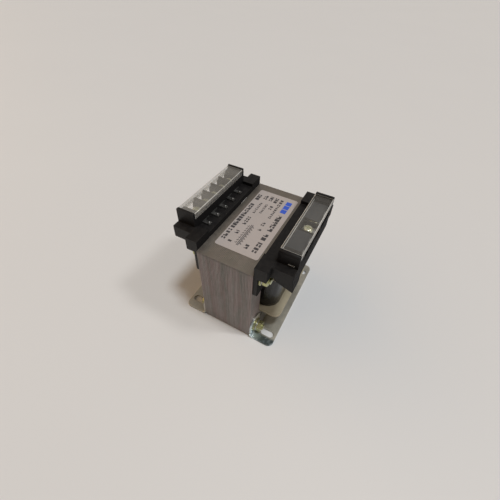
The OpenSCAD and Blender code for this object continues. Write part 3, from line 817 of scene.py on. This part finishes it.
def barrier_tops_mesh(settings):
    """Tops of the barriers between the primary ways, under the clear cover."""
    inset, half_thick, edge = 1.3 * MM, 0.7 * MM, 0.2 * MM
    x0, x1, top = cover_span("primary_cover")
    bm = bmesh.new()
    for step in range(-2, 3):
        y = (step + 0.5) * settings.way_pitch
        rounded_block(
            bm, (x0 + inset, y - half_thick, top - settings.cover_deep),
            (x1 - inset, y + half_thick, top - inset), edge,
        )
    return bm


def marker_plates_mesh(settings):
    """Two thin plates on the barriers of the secondary block, with a gap over its middle way."""
    low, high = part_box("secondary_marker_plates")
    bm = bmesh.new()
    for y0, y1 in ((low[1], -settings.plate_gap), (settings.plate_gap, high[1])):
        rounded_block(bm, (low[0], y0, low[2]), (high[0], y1, high[2]), 0.2 * MM)
    return bm


def backed_out_mesh(name, rise):
    """The screws or clamps of one block, raised from where they would hold a wire."""
    bm = bmesh.new()
    bm.from_mesh(NODES[name].data)
    bmesh.ops.remove_doubles(bm, verts=bm.verts, dist=0.002 * MM)
    bmesh.ops.translate(bm, vec=(0.0, 0.0, rise), verts=bm.verts)
    return bm


# ---- Label print ----


def flat_bar(bm, low, high, floor, thick):
    """Thin closed bar of ink between two corners."""
    centre = ((low[0] + high[0]) / 2, (low[1] + high[1]) / 2, floor + thick / 2)
    add_block(bm, (high[0] - low[0], high[1] - low[1], thick), centre)


class LabelSheet:
    """Draws on the label in millimetres from its middle: u along the core, v across it."""

    def __init__(self, bm, lift):
        low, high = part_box("rating_label")
        self.bm, self.lift = bm, lift
        self.origin = ((low[0] + high[0]) / 2, (low[1] + high[1]) / 2, high[2])

    def bar(self, u0, u1, v0, v1):
        """Bar between two corners."""
        x, y, z = self.origin
        flat_bar(self.bm, (x + v0 * MM, y + u0 * MM), (x + v1 * MM, y + u1 * MM), z, self.lift)

    def words(self, u0, u1, v, high, seed, gap=0.45):
        """Row of short blocks of uneven width that stands for a line of print."""
        pick = random.Random(seed)
        u = u0
        while u < u1:
            wide = min(high * pick.uniform(0.55, 0.95), u1 - u)
            if wide < 0.2:
                break
            split = pick.choice((0, 1, 2))
            if split == 0:
                self.bar(u, u + wide, v - high / 2, v + high / 2)
            elif split == 1:
                self.bar(u, u + wide * 0.35, v - high / 2, v + high / 2)
                self.bar(u + wide * 0.35, u + wide, v - high * 0.1, v + high / 2)
            else:
                self.bar(u, u + wide, v - high / 2, v - high * 0.15)
                self.bar(u, u + wide, v + high * 0.1, v + high / 2)
            u += wide + high * gap * pick.uniform(0.6, 1.3)


def print_label(sheet):
    """Generic print: rows of blocks in several sizes, and two rules with marks on each side."""
    sheet.words(-26.5, -16.5, -12.6, 2.7, 3, gap=0.35)
    sheet.words(-15.0, 14.5, -12.6, 2.8, 4, gap=0.22)
    sheet.words(19.5, 26.5, -12.6, 2.8, 6, gap=0.2)
    sheet.words(-27.0, -25.5, -7.6, 2.4, 7)
    sheet.words(-18.5, -15.5, -7.6, 2.4, 8)
    sheet.words(-8.5, 0.0, -7.6, 2.4, 9)
    sheet.words(5.0, 18.5, -7.6, 1.7, 10)
    sheet.words(23.0, 28.5, -7.6, 2.5, 11, gap=0.25)
    sheet.words(7.0, 18.5, -3.4, 1.6, 12)
    sheet.words(23.0, 28.5, -3.4, 2.4, 13, gap=0.2)
    sheet.words(14.0, 18.5, 0.5, 2.2, 14)
    sheet.words(22.5, 28.5, 0.5, 2.4, 15, gap=0.25)
    sheet.words(-27.5, -23.5, 4.0, 2.4, 16, gap=0.25)
    sheet.words(-9.0, -7.5, 4.0, 2.2, 17)
    sheet.words(-4.0, 0.0, 3.6, 2.2, 18)
    sheet.words(5.0, 20.0, 4.4, 1.7, 19)
    sheet.words(20.5, 28.5, 4.4, 2.2, 20)
    sheet.words(-28.0, -18.5, 10.0, 3.0, 21, gap=0.25)
    sheet.words(-16.0, -9.5, 10.0, 3.0, 22, gap=0.4)
    sheet.words(-6.5, 11.5, 10.0, 3.2, 23, gap=0.2)
    for v in (-2.35, -1.45):
        sheet.bar(-27.5, -6.5, v - 0.24, v + 0.24)
    for step in range(8):
        u = -26.0 + step * 2.4
        for side, near in ((-1.0, -3.5), (1.0, -0.7)):
            sheet.bar(u, u + 1.5, near - 0.2, near + 0.2)
            sheet.bar(u + 0.1, u + 0.5, min(near, near + side), max(near, near + side))


def blue_field(sheet):
    """Plain blue field at the far corner."""
    for step in range(3):
        u = 14.6 + step * 4.8
        sheet.bar(u, u + 4.2, 8.0, 12.0)


# ---- Operators ----


class TRANSFORMER_OT_core(bpy.types.Operator):
    """Finish both parts of the sheet stack"""

    bl_idname = "transformer.core"
    bl_label = "Core"

    def execute(self, context):
        s = context.scene.transformer_core
        coat_nodes(("e_laminations", "i_laminations"), core_finish("core_varnish", s))
        return {"FINISHED"}


class TRANSFORMER_OT_coil(bpy.types.Operator):
    """Make the taped coil, and finish the bobbin and the windings"""

    bl_idname = "transformer.coil"
    bl_label = "Coil"

    def execute(self, context):
        s = context.scene.transformer_coil
        new_piece("taped_coil", taped_coil_mesh(s), [tape_finish("black_tape", s.tape)],
                  replaces=["outer_wrap"])
        bobbin = moulding_finish(
            "bobbin_moulding", s.bobbin, 0.52, (0.50, 0.45, 0.34), speck=600.0, dusty=0.15
        )
        coat_nodes(["bobbin"], bobbin, 0.2 * MM)
        wire = plated_finish("enamelled_copper", s.copper, (0.42, 0.14, 0.05), 900.0, 0.25, 0.4)
        wound = ("primary_winding", "secondary_winding", "primary_leads", "secondary_leads")
        coat_nodes(wound, wire)
        coat_nodes(["interwinding_insulation"], film_finish("yellow_film", (0.62, 0.52, 0.16)))
        return {"FINISHED"}


class TRANSFORMER_OT_feet(bpy.types.Operator):
    """Finish both foot brackets"""

    bl_idname = "transformer.feet"
    bl_label = "Feet"

    def execute(self, context):
        s = context.scene.transformer_metal
        feet = ("primary_foot_bracket", "secondary_foot_bracket")
        coat_nodes(feet, foot_finish("foot_zinc", s), 0.2 * MM)
        return {"FINISHED"}


class TRANSFORMER_OT_fasteners(bpy.types.Operator):
    """Finish bolts, washers and nuts"""

    bl_idname = "transformer.fasteners"
    bl_label = "Fasteners"

    def execute(self, context):
        s = context.scene.transformer_metal
        yellow = plated_finish(
            "fastener_yellow_zinc", s.yellow, (0.55, 0.58, 0.34), 1300.0, 0.12, 0.3
        )
        zinc = plated_finish("fastener_zinc", s.zinc, (0.55, 0.56, 0.55), 900.0, 0.2, 0.4)
        yellow_pieces = ("lower_core_bolts", "upper_core_bolts", "core_nuts", "plain_washers")
        coat_nodes(yellow_pieces, yellow, s.edge)
        coat_nodes(["spring_washers"], zinc, s.edge)
        return {"FINISHED"}


class TRANSFORMER_OT_terminal_bases(bpy.types.Operator):
    """Finish both mouldings, and make the end wall tops, barrier tops and marker plates"""

    bl_idname = "transformer.terminal_bases"
    bl_label = "Terminal bases"

    def execute(self, context):
        s = context.scene.transformer_terminals
        # Edge colour of the black mouldings: a painted highlight along their edges
        edge_wear_and_highlight = (0.06, 0.055, 0.05)
        black = moulding_finish("terminal_moulding", s.moulding, 0.42, edge_wear_and_highlight, dull=0.5)
        coat_nodes(("primary_terminal_base", "secondary_terminal_base"), black, s.edge)
        new_piece("end_wall_tops", end_walls_mesh(s), [black])
        new_piece("primary_barrier_tops", barrier_tops_mesh(s), [black])
        plate = moulding_finish("marker_plate", s.plate, 0.38, (0.16, 0.16, 0.16), dusty=0.05)
        new_piece("marker_plates", marker_plates_mesh(s), [plate],
                  replaces=["secondary_marker_plates"])
        return {"FINISHED"}


class TRANSFORMER_OT_terminal_metal(bpy.types.Operator):
    """Finish strips, solder and sleeves, and raise the screws and clamp plates"""

    bl_idname = "transformer.terminal_metal"
    bl_label = "Terminal metal"

    def execute(self, context):
        s = context.scene.transformer_metal
        tin = plated_finish("tinned_brass", s.tin, shade(s.tin, 3.0), 900.0, 0.25, 0.5)
        zinc = plated_finish(
            "clamp_zinc", (0.34, 0.33, 0.29), (0.46, 0.45, 0.41), 900.0, 0.2, 0.4, metallic=0.35
        )
        screw = plated_finish(
            "screw_zinc", (0.74, 0.73, 0.52), (0.88, 0.88, 0.70), 900.0, 0.12, 0.28, metallic=0.65
        )
        coat_nodes(("primary_contact_strips", "secondary_contact_strips", "solder_joints"), tin)
        for side in ("primary", "secondary"):
            for kind, finish, slot, rise in (
                ("clamp_plates", zinc, "zinc_steel", 0.6 * s.backed_out),
                ("terminal_screws", screw, "yellow_zinc_steel", s.backed_out),
            ):
                name = f"{side}_{kind}"
                piece = new_piece(
                    f"{side}_backed_out_{kind}", backed_out_mesh(name, rise), [finish],
                    replaces=[name], smooth=False,
                )
                soften(piece, s.edge / 2)
        sleeve = context.scene.transformer_terminals.sleeve
        sleeving = moulding_finish("sleeve_plastic", sleeve, 0.5, (0.6, 0.6, 0.55))
        coat_nodes(["lead_sleeves"], sleeving)
        return {"FINISHED"}


class TRANSFORMER_OT_covers(bpy.types.Operator):
    """Make both clear covers and the tips of their latches"""

    bl_idname = "transformer.covers"
    bl_label = "Covers"

    def execute(self, context):
        s = context.scene.transformer_terminals
        # Paler, less clear finish for the rounded cover edges: a painted highlight along them
        edge = clear_finish("clear_edge_highlight", shade(s.cover, 1.5), 0.8)
        skirt = clear_finish("clear_side", s.skirt, s.skirt_haze, streaked=0.8)
        # The primary cover's extra milkiness is partly a painted reflection
        for side, haze in (("primary", s.haze_and_painted_reflection), ("secondary", s.haze)):
            top = clear_finish("clear_top_" + side, s.cover, haze)
            new_piece(
                side + "_clear_cover", cover_mesh(side + "_cover", s), [top, edge, skirt],
                replaces=[side + "_cover"], smooth=False,
            )
        latch = clear_finish("latch_tip", s.cover, 0.22)
        new_piece("latch_tips", latch_tips_mesh(s), [latch])
        return {"FINISHED"}


class TRANSFORMER_OT_label(bpy.types.Operator):
    """Finish the label and lay its generic print"""

    bl_idname = "transformer.label"
    bl_label = "Label"

    def execute(self, context):
        s = context.scene.transformer_label
        coat_nodes(["rating_label"], film_finish("label_film", s.film), 0.05 * MM)
        prints = (("label_print", print_label, s.ink), ("label_blue_field", blue_field, s.blue))
        for name, draw, ink in prints:
            bm = bmesh.new()
            draw(LabelSheet(bm, s.lift))
            new_piece(name, bm, [ink_finish(name + "_ink", ink)], smooth=False)
        return {"FINISHED"}


class TRANSFORMER_OT_stage(bpy.types.Operator):
    """Make the floor, the light and the camera"""

    bl_idname = "transformer.stage"
    bl_label = "Stage"

    def execute(self, context):
        s = context.scene.transformer_stage
        self.make_floor(s)
        self.make_world(s)
        self.make_sun("key_light", (0.23, 0.0, 1.0), 11.0, s.key, (0.91, 0.97, 1.0))
        self.make_sun("side_light", (0.69, 0.27, 1.0), 8.0, s.side, (1.0, 0.98, 0.95))
        self.make_sun("fill_light", (-1.0, -0.3, 0.45), 80.0, s.fill, (1.0, 0.60, 0.22))
        self.make_camera(s)
        context.scene.view_settings.view_transform = "Standard"
        return {"FINISHED"}

    def make_floor(self, s):
        """Makes a plain floor that reaches well past the view."""
        reach = 12.0
        bm = bmesh.new()
        bmesh.ops.create_grid(bm, x_segments=2, y_segments=2, size=reach)
        mesh = mesh_from("floor", bm)
        material, tree, shader = new_finish("floor_paint", 0.6)
        grain = use_group(tree, "grain", Scale=40.0)
        tone = blend(tree, grain.outputs["Broad"], shade(s.floor, 0.985), shade(s.floor, 1.015))
        tree.links.new(tone, shader.inputs["Base Color"])
        mesh.materials.append(material)
        link_object("floor", mesh)

    def make_world(self, s):
        """Makes an even light, with strengths of its own in view and in what glossy faces mirror."""
        backdrop = 0.9
        world = bpy.data.worlds.new("studio")
        bpy.context.scene.world = world
        world.use_nodes = True
        tree = world.node_tree
        back = tree.nodes["Background"]
        path = tree.nodes.new("ShaderNodeLightPath")
        seen = calc(
            tree, "MAXIMUM", path.outputs["Is Camera Ray"], path.outputs["Is Transmission Ray"]
        )
        strength = calc(tree, "ADD", s.ambient, calc(tree, "MULTIPLY", seen, backdrop - s.ambient))
        glossy = calc(tree, "MULTIPLY", path.outputs["Is Glossy Ray"], s.mirrored - s.ambient)
        back.inputs["Color"].default_value = (1.0, 0.94, 0.87, 1.0)
        tree.links.new(calc(tree, "ADD", strength, glossy), back.inputs["Strength"])

    def make_sun(self, name, towards, spread_degrees, strength, tint):
        """Makes a light that lies in a direction from the part."""
        lamp = bpy.data.lights.new(name, "SUN")
        lamp.angle = math.radians(spread_degrees)
        lamp.color = tint
        lamp.energy = strength
        turned = Vector(towards).to_track_quat("Z", "Y").to_euler()
        link_object(name, lamp).rotation_euler = turned

    def make_camera(self, s):
        """Makes the camera, which looks down at the near end from the secondary side."""
        place = Vector((58.886, -128.254, 192.951)) * MM
        right, ahead = Vector((0.88014, 0.4735, 0.03379)), Vector((-0.30265, 0.61456, -0.72851))
        right.normalize()
        up = right.cross(ahead).normalized()
        ahead = up.cross(right)
        data = bpy.data.cameras.new("camera")
        data.sensor_width = 36.0
        data.lens = s.lens
        data.shift_y = 0.001
        data.clip_start, data.clip_end = 0.01, 50.0
        camera = link_object("camera", data)
        turn = Matrix((right, up, -ahead)).transposed().to_4x4()
        camera.matrix_world = Matrix.Translation(place) @ turn
        bpy.context.scene.camera = camera


class TRANSFORMER_PT_panel(bpy.types.Panel):
    """Buttons that build the transformer's looks"""

    bl_label = "Transformer"
    bl_idname = "TRANSFORMER_PT_panel"
    bl_space_type = "VIEW_3D"
    bl_region_type = "UI"
    bl_category = "Transformer"

    def draw(self, context):
        """Lists the settings, then a button for each operator."""
        for name, kind in SETTINGS:
            box = self.layout.box()
            box.label(text=kind.__doc__)
            group = getattr(context.scene, name)
            for prop in kind.__annotations__:
                box.prop(group, prop)
        for operator in OPERATORS:
            self.layout.operator(operator.bl_idname)


SETTINGS = [
    ("transformer_core", CoreSettings),
    ("transformer_coil", CoilSettings),
    ("transformer_metal", MetalSettings),
    ("transformer_terminals", TerminalSettings),
    ("transformer_label", LabelSettings),
    ("transformer_stage", StageSettings),
]

OPERATORS = [
    TRANSFORMER_OT_stage,
    TRANSFORMER_OT_core,
    TRANSFORMER_OT_coil,
    TRANSFORMER_OT_feet,
    TRANSFORMER_OT_fasteners,
    TRANSFORMER_OT_terminal_bases,
    TRANSFORMER_OT_terminal_metal,
    TRANSFORMER_OT_covers,
    TRANSFORMER_OT_label,
]


def register():
    """Registers the settings, the operators and the panel."""
    for name, kind in SETTINGS:
        bpy.utils.register_class(kind)
        setattr(bpy.types.Scene, name, PointerProperty(type=kind))
    for operator in OPERATORS:
        bpy.utils.register_class(operator)
    bpy.utils.register_class(TRANSFORMER_PT_panel)


def unregister():
    """Takes everything out again."""
    bpy.utils.unregister_class(TRANSFORMER_PT_panel)
    for operator in reversed(OPERATORS):
        bpy.utils.unregister_class(operator)
    for name, kind in reversed(SETTINGS):
        delattr(bpy.types.Scene, name)
        bpy.utils.unregister_class(kind)


def main():
    """Builds everything in order."""
    register()
    for operator in OPERATORS:
        family, verb = operator.bl_idname.split(".")
        getattr(getattr(bpy.ops, family), verb)()
    bpy.context.view_layer.update()


if __name__ == "__main__":
    main()
